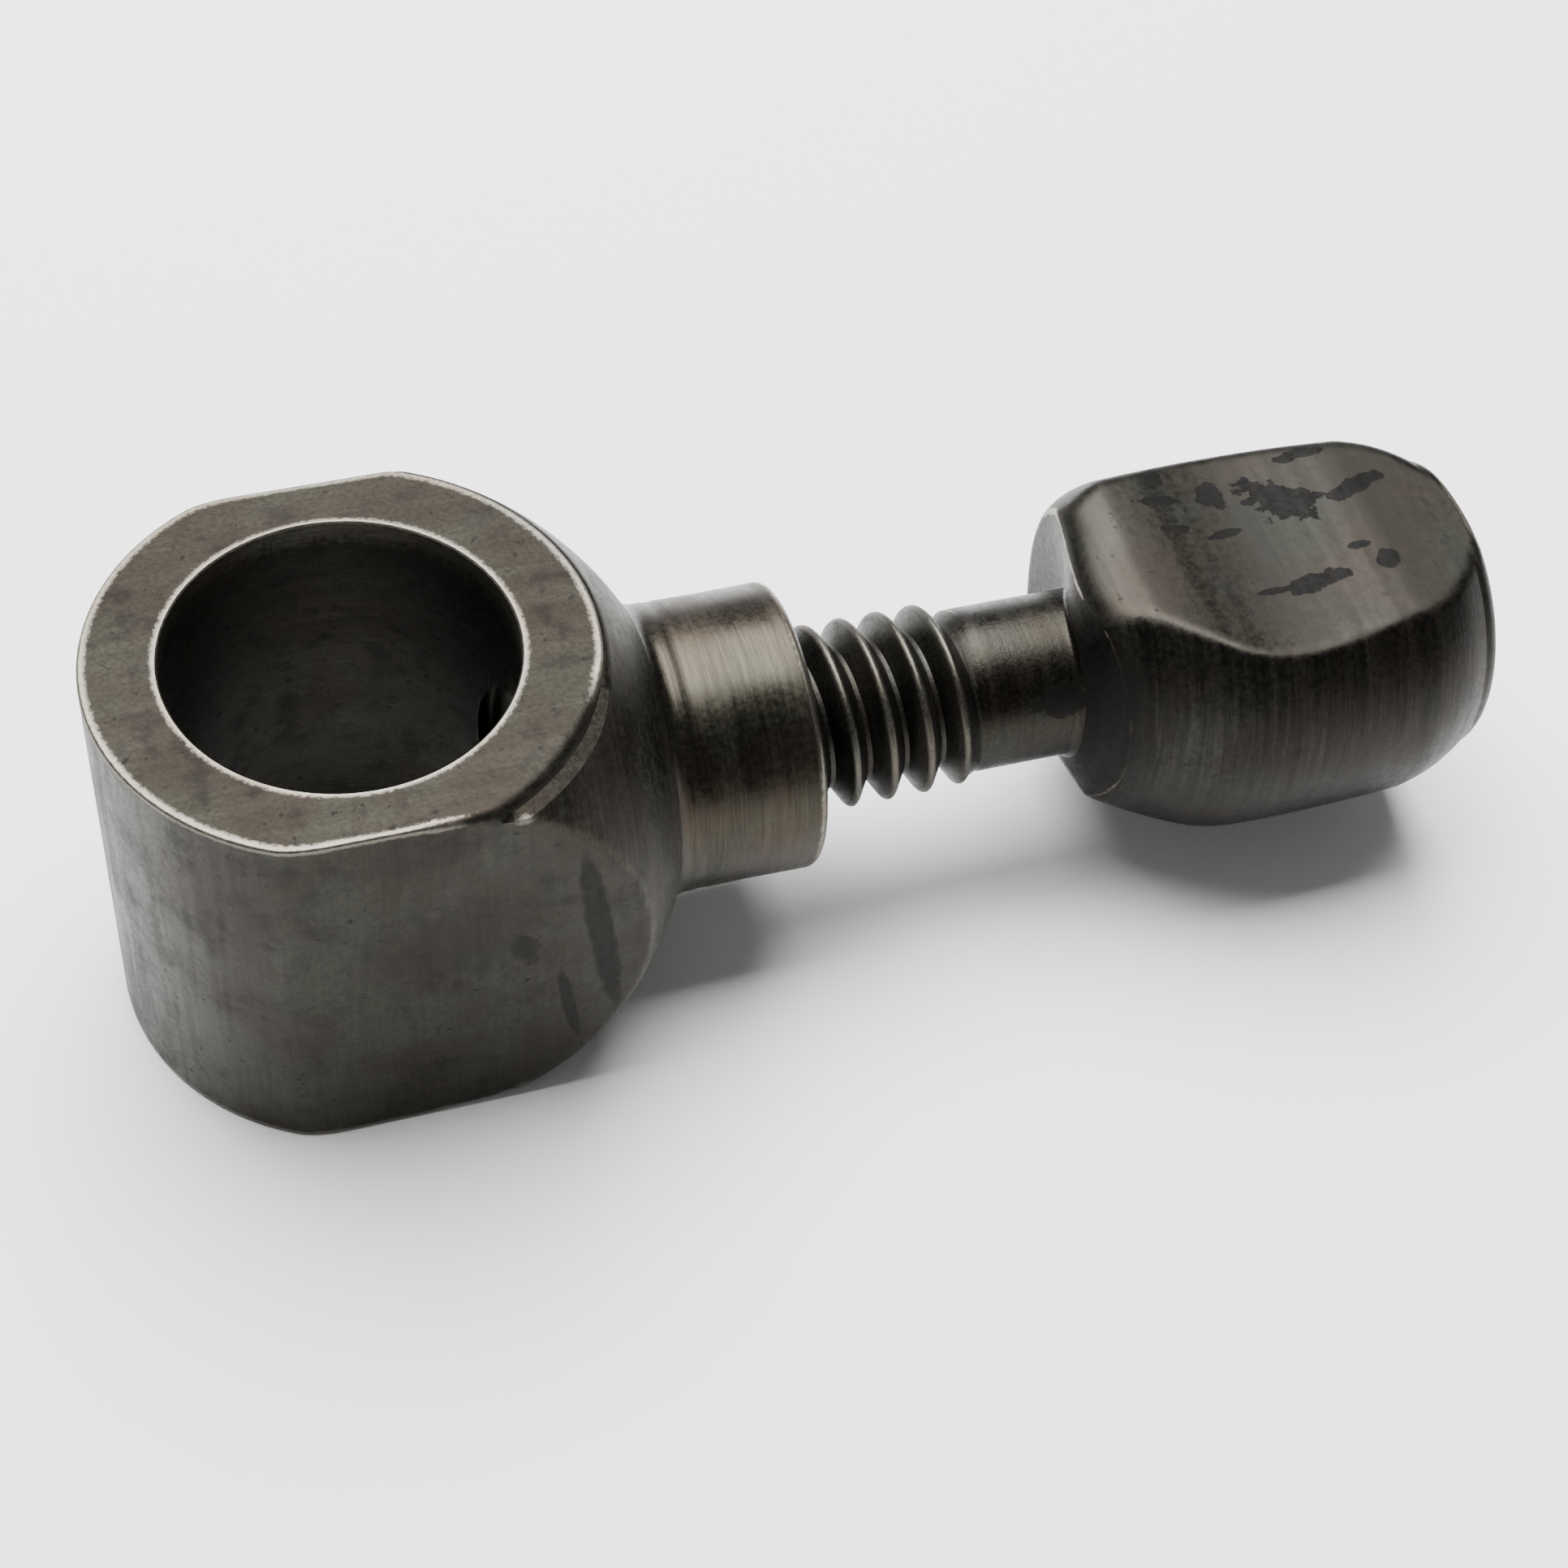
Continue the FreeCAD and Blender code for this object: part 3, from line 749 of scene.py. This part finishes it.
@dataclass
class EyeCollar:
    """The bored, ball-turned eye with its tapped neck. Sizes are in metres."""

    bore: float = 5.45 * MM
    half_height: float = 7.3 * MM
    round_end: float = 7.8 * MM
    half_width: float = 7.25 * MM
    ball: float = 10.75 * MM
    neck: float = 4.7625 * MM
    neck_end: float = 14.5 * MM
    mouth: float = 3.4 * MM
    bore_break: float = 0.05 * MM
    edge_break: float = 0.1 * MM
    worn_break: float = 0.45 * MM
    around: int = 440
    finishes: tuple[SteelFinish, ...] = (EYE_WALL, EYE_FACE, EYE_BALL, EYE_NECK, EYE_BORE)
    thread: Thread = field(default_factory=lambda: Thread(
        crest_radius=3.21 * MM, root_radius=2.5 * MM, crest_width=0.3 * MM, root_width=0.12 * MM,
        steps=96))

    def wall(self, angle: np.ndarray, height: np.ndarray) -> np.ndarray:
        """Give the outer wall's distance from the bore's axis.

        Args:
            angle: the direction about the bore, from +X, in radians.
            height: the height from the eye's middle.

        Returns:
            The distance, with the flats and the ball running into each other over soft edges.
        """
        rounded = np.where(np.cos(angle) < 0, self.round_end, 1.0)
        flat = self.half_width / np.maximum(np.abs(np.sin(angle)), 1e-4)
        ball = np.sqrt(self.ball**2 - height**2)
        plan = soft_min(rounded, flat, 0.35 * MM)
        return soft_min(plan, ball, 0.14 * MM)

    def top_break(self, angle: np.ndarray) -> np.ndarray:
        """Give the width of the broken edge round a face, wide where the eye has been handled."""
        worn = ease(np.cos(angle + math.radians(50)), 0.8, 0.99)
        return self.edge_break + (self.worn_break - self.edge_break) * worn

    def section(self, angle: np.ndarray) -> tuple[np.ndarray, np.ndarray]:
        """Give the eye's closed section at each angle, up the bore and down the outer wall.

        Args:
            angle: directions about the bore, as a column.

        Returns:
            The radii and heights of the section's points, a row for each angle.
        """
        h, chamfer = self.half_height, self.bore_break
        edge = self.top_break(angle)
        top = self.wall(angle, np.full_like(angle, h))
        quarter = np.linspace(0, math.pi / 2, 6)
        rows: list[tuple[np.ndarray, np.ndarray]] = []
        for z in np.linspace(-h + chamfer, h - chamfer, 12):
            rows.append((np.full_like(angle, self.bore), np.full_like(angle, z)))
        for z in (0.35, 0.7, 1.0):
            rows.append((np.full_like(angle, self.bore + chamfer * z),
                         np.full_like(angle, h - chamfer * (1 - z))))
        inner = self.bore + chamfer
        outer = top - edge
        for t in np.linspace(0, 1, 9)[1:-1]:
            rows.append((inner + (outer - inner) * t, np.full_like(angle, h)))
        for turn in quarter[:-1]:
            rows.append((outer + edge * math.sin(turn), h - edge * (1 - math.cos(turn))))
        for z in np.linspace(1, -1, 84):
            level = (h - edge) * z
            rows.append((self.wall(angle, level), level))
        for turn in quarter[::-1][1:]:
            rows.append((outer + edge * math.sin(turn), -h + edge * (1 - math.cos(turn))))
        for t in np.linspace(1, 0, 9)[1:-1]:
            rows.append((inner + (outer - inner) * t, np.full_like(angle, -h)))
        for z in (1.0, 0.7, 0.35):
            rows.append((np.full_like(angle, self.bore + chamfer * z),
                         np.full_like(angle, -h + chamfer * (1 - z))))
        radii = np.hstack([row[0] for row in rows])
        levels = np.hstack([row[1] for row in rows])
        return radii, levels

    def build_ring(self) -> bpy.types.Object:
        """Shape the eye itself from a ring.

        Returns:
            The closed ring with its flats, ball and broken edges.
        """
        angles = np.linspace(0.0, 2 * math.pi, self.around + 1)[:, None]
        radii, levels = self.section(angles)
        last = radii.shape[1]
        deselect_all()
        bpy.ops.mesh.primitive_grid_add(x_subdivisions=self.around, y_subdivisions=last, size=2.0)
        piece = bpy.context.active_object
        piece.name = "eye_ring"
        flat = places_of(piece)
        column = np.rint((flat[:, 0] + 1) / 2 * self.around).astype(int)
        row = np.rint((flat[:, 1] + 1) / 2 * last).astype(int) % last
        radius = radii[column, row]
        angle = angles[column, 0]
        set_places(piece, np.stack([radius * np.cos(angle), radius * np.sin(angle), levels[column, row]],
                                   axis=-1))
        clean(piece)
        return piece

    def neck_outline(self) -> list[Point]:
        """Give the neck's half outline, with its root fillet, turned steps and rounded end."""
        fillet = 0.7 * MM
        centre = math.sqrt((self.ball + fillet) ** 2 - (self.neck + fillet) ** 2)
        meet = self.ball / (self.ball + fillet)
        root = (centre * meet - 0.02 * MM, (self.neck + fillet) * meet - 0.01 * MM)
        points: list[Point] = [(7.4 * MM, 0.0), (7.4 * MM, 4.2 * MM), root]
        points += arc(root, (centre, self.neck), fillet, -1, 8)
        start = (centre, self.neck)
        steps = ((10.35, 4.762), (10.42, 4.735), (10.75, 4.735), (10.82, 4.75), (12.2, 4.735), (13.6, 4.757),
                 (14.1, 4.7625))
        for x, r in steps:
            here = (x * MM, r * MM)
            points += line(start, here, 0.3 * MM)
            start = here
        shoulder = (self.neck_end - 0.32 * MM, self.neck)
        points += line(start, shoulder, 0.3 * MM)
        points += arc(shoulder, (self.neck_end, self.neck - 0.32 * MM), 0.32 * MM, 1, 7)
        points += line(points[-1], (self.neck_end, self.mouth), 0.3 * MM)
        points += [(self.neck_end, 0.0)]
        return points

    def build(self) -> bpy.types.Object:
        """Build the whole collar: ring, neck, tapped hole and its countersunk mouth."""
        piece = self.build_ring()
        cut_or_join(piece, turned("neck", self.neck_outline(), 288), "UNION")
        cut_or_join(piece, self.thread.cut("tap", 3.5 * MM, self.neck_end + 0.6 * MM), "DIFFERENCE")
        mouth = turned("mouth", [
            (self.neck_end - self.mouth, 0.0), (self.neck_end, self.mouth),
            (self.neck_end + MM, self.mouth), (self.neck_end + MM, 0.0)], 96)
        cut_or_join(piece, mouth, "DIFFERENCE")
        piece.name = "eye_collar_finished"
        piece.data.name = piece.name
        shade(piece, SMOOTH_UNDER_DEG)
        paint(piece, [finish.build() for finish in self.finishes], self.zone_of)
        return piece

    def zone_of(self, centres: np.ndarray, normals: np.ndarray) -> np.ndarray:
        """Sort the faces: 0 outer walls, 1 end faces, 2 ball, 3 neck, 4 bore and tapped hole."""
        x, y, z = centres.T
        from_bore, from_neck = np.hypot(x, y), np.hypot(y, z)
        on_ball = (np.abs(np.sqrt(x**2 + y**2 + z**2) - self.ball) < 0.06 * MM) & (x > 0)
        neck = (x > 9.55 * MM) & (from_neck < self.neck + 0.3 * MM)
        face = (np.abs(normals[:, 2]) > 0.72) & (np.abs(z) > self.half_height - self.worn_break)
        in_neck = (from_neck < self.mouth) & (x > 4 * MM) & (x < self.neck_end - 0.1 * MM)
        inside = (from_bore < self.bore + 0.02 * MM) | in_neck
        return np.select([inside, face & (x < 9 * MM), neck, on_ball], [4, 1, 3, 2], 0)


@dataclass
class ThumbScrew:
    """The thumb screw, from its tip to its scooped head. Sizes are in metres."""

    tip: float = 7.6 * MM
    thread_end: float = 20.1 * MM
    shank: float = 2.75 * MM
    head_start: float = 25.1 * MM
    head_end: float = 37.95 * MM
    crown: float = 6.2 * MM
    shoulder: float = 6.05 * MM
    scoop_radius: float = 14.0 * MM
    scoop_place: float = 30.6 * MM
    half_grip: float = 4.2 * MM
    front_height: float = 4.57 * MM
    front_level: float = 26.6 * MM
    front_round: tuple[float, float] = (1.55 * MM, 1.1 * MM)
    flare_start: float = 22.4 * MM
    flare_length: float = 1.4 * MM
    front_lean: float = 0.75 * MM
    lean_run: float = 2.5 * MM
    dressed_run: float = 4.9 * MM
    dressed_front: float = 4.9 * MM
    dressing_centre: Point = (0.88 * MM, -0.22 * MM)
    roll_end: float = 27.0 * MM
    around: int = 320
    finishes: tuple[SteelFinish, ...] = (HEAD_SIDE, HEAD_GRIP, SCREW_SHANK, SCREW_THREAD)
    thread: Thread = field(default_factory=Thread)

    def fade(self, places: np.ndarray) -> np.ndarray:
        """Chamfer the thread's tip and run its other end out into the shank.

        Args:
            places: the thread's corners.

        Returns:
            The changed corners.
        """
        x = places[:, 0]
        radius = np.hypot(places[:, 1], places[:, 2])
        out = ease(x, self.thread_end - 0.35 * MM, self.thread_end + 0.5 * MM)
        goal = radius + (self.shank - 0.03 * MM - radius) * out
        goal = np.minimum(goal, self.thread.crest_radius - 0.6 * MM + np.maximum(x - self.tip, -0.2 * MM))
        scale = goal / np.maximum(radius, 1e-9)
        return places * np.stack([np.ones_like(scale), scale, scale], axis=-1)

    def outline(self) -> list[Point]:
        """Give the half outline of the shank and the head as turned, before it is dressed."""
        s, shoulder = self.head_start, self.shoulder
        fillet = 0.15 * MM
        start = self.thread_end + 0.3 * MM
        points: list[Point] = [(start, 0.0), (start, self.shank - 0.12 * MM),
                               (self.thread_end + 0.55 * MM, self.shank)]
        points += line(points[-1], (s - fillet, self.shank), 0.25 * MM)
        points += arc(points[-1], (s, self.shank + fillet), fillet, -1, 6)
        points += line(points[-1], (s, shoulder - 0.7 * MM), 0.16 * MM)
        points += arc(points[-1], (s + 0.7 * MM, shoulder), 0.7 * MM, 1, 10)
        points += arc(points[-1], (self.head_end - 2.9 * MM, shoulder), 68 * MM, 1, 84)
        points += arc(points[-1], (self.head_end - 0.6 * MM, shoulder - MM), 5.5 * MM, 1, 26)
        points += arc(points[-1], (self.head_end, shoulder - 1.6 * MM), 0.72 * MM, 1, 8)
        points += line(points[-1], (self.head_end, 0.0), 0.25 * MM)
        return points

    def grip_height(self, x: np.ndarray) -> np.ndarray:
        """Give the grips' height off the middle plane: a scoop that levels off and rounds down in front."""
        run = self.scoop_radius**2 - (x - self.scoop_place) ** 2
        scoop = self.half_grip + self.scoop_radius - np.sqrt(np.maximum(run, 0.0))
        reach, fall = self.front_round
        front = np.clip((self.front_level - x) / reach, 0.0, 1.0)
        drop = fall * (1.0 - np.sqrt(1.0 - front**2))
        return soft_min(scoop, np.full_like(x, self.front_height), 0.3 * MM) - drop

    def dressed_radius(self, x: np.ndarray, cosine: np.ndarray, sine: np.ndarray) -> np.ndarray:
        """Give the dressed shoulder's radius, round about a centre of its own."""
        t = np.clip((x - self.head_start) / self.dressed_run, 0.0, 1.0)
        rise = self.crown + 0.95 * MM - self.dressed_front
        round_it = self.dressed_front + rise * (1 - (1 - t) ** 1.55)
        toward = cosine * self.dressing_centre[0] + sine * self.dressing_centre[1]
        offset = math.hypot(*self.dressing_centre)
        dressed = toward + np.sqrt(np.maximum(toward**2 - offset**2 + round_it**2, 0.0))
        return np.where(t >= 1.0, 1.0, dressed)

    def flare(self, places: np.ndarray) -> np.ndarray:
        """Draw the head's front onto the shank: a cone toward -Y, and a forward lean above and below."""
        x, y, z = places.T
        radius = np.maximum(np.hypot(y, z), 1e-9)
        cosine, sine = y / radius, z / radius
        front = np.full_like(x, self.head_start)
        edge = np.minimum(self.dressed_radius(front, cosine, sine),
                          self.grip_height(front) / np.maximum(np.abs(sine), 1e-4))
        edge = np.minimum(edge, self.shoulder)
        span = np.clip((x - self.flare_start) / (self.head_start - self.flare_start), 0.0, 1.0)
        low = np.clip((edge - radius) / (edge - self.shank), 0.0, 1.0)
        push = self.flare_length * ((1.0 - cosine) / 2) ** 2 * span * low
        behind = np.clip((x - self.head_start) / self.lean_run, 0.0, 1.0)
        fade = np.where(x < self.head_start, span, 1.0 - behind)
        push += self.front_lean * np.abs(sine) ** 3 * fade
        moved = (radius > 0.9 * self.shank) & (x < self.scoop_place)
        return np.stack([x - np.where(moved, push, 0.0), y, z], axis=-1)

    def dress(self, places: np.ndarray) -> np.ndarray:
        """Scoop the two grips into the turned head and dress one shoulder away.

        Args:
            places: the turned corners.

        Returns:
            The changed corners.
        """
        x, y, z = places.T
        radius = np.hypot(y, z)
        head = x > self.head_start - 0.3 * MM
        away = np.maximum(radius, 1e-9)
        cosine, sine = y / away, z / away
        height = self.grip_height(x)
        scooped = height / np.maximum(np.abs(sine), 1e-4)
        dressed = self.dressed_radius(x, cosine, sine)
        goal = soft_min(soft_min(radius, dressed, 0.3 * MM), scooped, 0.24 * MM)
        goal = np.where(head & (radius > 2.2 * MM), np.minimum(goal, radius), radius)
        scale = goal / away
        return places * np.stack([np.ones_like(scale), scale, scale], axis=-1)

    def build(self) -> bpy.types.Object:
        """Build the screw: the turned and dressed head and shank, joined to the thread."""
        piece = turned("thumb_screw_finished", self.outline(), self.around)
        set_places(piece, self.flare(self.dress(places_of(piece))))
        clean(piece)
        bar = self.thread.cut("thread", self.tip, self.thread_end + 0.5 * MM, self.fade)
        cut_or_join(piece, bar, "UNION")
        socket = turned("socket", [(self.tip - MM, 0.0), (self.tip - MM, 1.08 * MM),
                                   (self.tip + 2.4 * MM, 1.08 * MM), (self.tip + 2.7 * MM, 0.0)], 64)
        cut_or_join(piece, socket, "DIFFERENCE")
        clean(piece)
        shade(piece, SMOOTH_UNDER_DEG)
        paint(piece, [finish.build() for finish in self.finishes], self.zone_of)
        return piece

    def zone_of(self, centres: np.ndarray, normals: np.ndarray) -> np.ndarray:
        """Sort the faces: 0 head sides, 1 grips, 2 shank, 3 thread and tip."""
        x, y, z = centres.T
        off_grip = np.abs(np.abs(z) - self.grip_height(x))
        across, up = np.abs(normals[:, 1]), np.abs(normals[:, 2])
        roll = (x > 24 * MM) & (x < self.roll_end) & (np.abs(z) > 3.2 * MM)
        level = (off_grip < 0.07 * MM) & (up > 0.7) & (x >= self.roll_end)
        grip = level | (roll & (across < 0.28) & (up > 0.45))
        shank = (np.hypot(y, z) < self.shank + 0.2 * MM) & (x < self.head_start + 0.05 * MM)
        return np.select([x < self.thread_end + 0.25 * MM, shank, grip], [3, 2, 1], 0)


@dataclass
class ClampPad:
    """The brass pad on the screw's tip. Sizes are in metres."""

    front: float = 5.9 * MM
    back: float = 7.5 * MM
    radius: float = 2.3 * MM
    spigot: float = 1.0 * MM
    spigot_end: float = 9.7 * MM
    finish: SteelFinish = PAD_BRASS

    def build(self) -> bpy.types.Object:
        """Turn the pad with a flat face, rounded edges and its spigot."""
        edge = 0.18 * MM
        points: list[Point] = [(self.front, 0.0)]
        points += line((self.front, 0.0), (self.front, self.radius - edge), 0.3 * MM)
        points += arc(points[-1], (self.front + edge, self.radius), edge, 1, 5)
        points += line(points[-1], (self.back - edge, self.radius), 0.3 * MM)
        points += arc(points[-1], (self.back, self.radius - edge), edge, 1, 5)
        points += [(self.back, self.spigot + edge)]
        points += arc(points[-1], (self.back + edge, self.spigot), edge, -1, 4)
        points += line(points[-1], (self.spigot_end - edge, self.spigot), 0.3 * MM)
        points += [(self.spigot_end, self.spigot - edge), (self.spigot_end, 0.0)]
        piece = turned("clamp_pad_finished", points, 128)
        shade(piece, SMOOTH_UNDER_DEG)
        paint(piece, [self.finish.build()], lambda centres, normals: np.zeros(len(centres)))
        return piece


# ------------------------------------------------------------- floor and light


def build_stage() -> None:
    """Lay the pale floor."""
    low = CAD_BOX[0][2]
    deselect_all()
    bpy.ops.mesh.primitive_plane_add(size=4.0, location=(0, 0, 0))
    floor = bpy.context.active_object
    floor.name = "floor"
    places = places_of(floor)
    places[:, 2] = low - FLOOR_GAP
    set_places(floor, places)
    made = bpy.data.materials.new("pale_floor")
    made.use_nodes = True
    bsdf = made.node_tree.nodes["Principled BSDF"]
    bsdf.inputs["Base Color"].default_value = (0.93, 0.93, 0.93, 1)
    bsdf.inputs["Roughness"].default_value = 0.9
    floor.data.materials.append(made)


@dataclass(frozen=True)
class SoftLight:
    """One soft square light. Places and sizes are in metres and power in watts."""

    name: str
    place: tuple[float, float, float]
    size: float
    power: float
    aim: tuple[float, float, float] = (0.015, 0.0, 0.0)

    def build(self) -> None:
        """Hang the light and turn it to its aim."""
        lamp = bpy.data.lights.new(self.name, "AREA")
        lamp.size = self.size
        lamp.energy = self.power
        item = bpy.data.objects.new(self.name, lamp)
        bpy.context.scene.collection.objects.link(item)
        turn = (Vector(self.aim) - Vector(self.place)).to_track_quat("-Z", "Y")
        item.matrix_world = Matrix.Translation(self.place) @ turn.to_matrix().to_4x4()


def build_lights() -> None:
    """Set the soft studio light."""
    world = bpy.data.worlds.new("studio")
    bpy.context.scene.world = world
    world.use_nodes = True
    sky = world.node_tree.nodes["Background"]
    sky.inputs["Color"].default_value = (1, 1, 1, 1)
    sky.inputs["Strength"].default_value = 0.22
    SoftLight("top_light", place=(0.01, 0.13, 0.335), size=0.34, power=6.2).build()
    SoftLight("back_light", place=(0.015, 0.5, 0.1), size=0.4, power=0.3).build()


@dataclass
class StudioCamera:
    """The camera. Places are in metres and angles in radians."""

    place: tuple[float, float, float] = (-9.6892 * MM, -62.37862 * MM, 77.19183 * MM)
    azimuth: float = 0.37187
    elevation: float = 0.87613
    roll: float = 0.09892
    lens: float = 71.265

    def build(self) -> None:
        """Stand the camera and make it the scene's own."""
        forward = Vector((math.sin(self.azimuth) * math.cos(self.elevation),
                          math.cos(self.azimuth) * math.cos(self.elevation), -math.sin(self.elevation)))
        right = forward.cross(Vector((0, 0, 1))).normalized()
        up = right.cross(forward)
        turn_right = right * math.cos(self.roll) + up * math.sin(self.roll)
        turn_up = up * math.cos(self.roll) - right * math.sin(self.roll)
        data = bpy.data.cameras.new("studio_camera")
        data.sensor_width = 36.0
        data.lens = self.lens
        data.clip_start = 0.005
        data.clip_end = 10.0
        item = bpy.data.objects.new("studio_camera", data)
        bpy.context.scene.collection.objects.link(item)
        matrix = Matrix((turn_right, turn_up, -forward)).transposed().to_4x4()
        item.matrix_world = Matrix.Translation(self.place) @ matrix
        bpy.context.scene.camera = item


def hand_over(piece: bpy.types.Object, node: str, body: str) -> None:
    """Let a finished piece stand for its CAD node."""
    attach(piece, body)
    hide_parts(node)
    log.info("%s: %d faces", piece.name, len(piece.data.polygons))


def main() -> None:
    """Build every piece in order, then the stage, the lights and the camera."""
    logging.basicConfig(level=logging.INFO, format="%(name)s: %(message)s")
    hand_over(EyeCollar().build(), "eye_collar", "eye")
    hand_over(ThumbScrew().build(), "thumb_screw", "screw")
    hand_over(ClampPad().build(), "clamp_pad", "pad")
    build_stage()
    build_lights()
    StudioCamera().build()


if __name__ == "__main__":
    main()
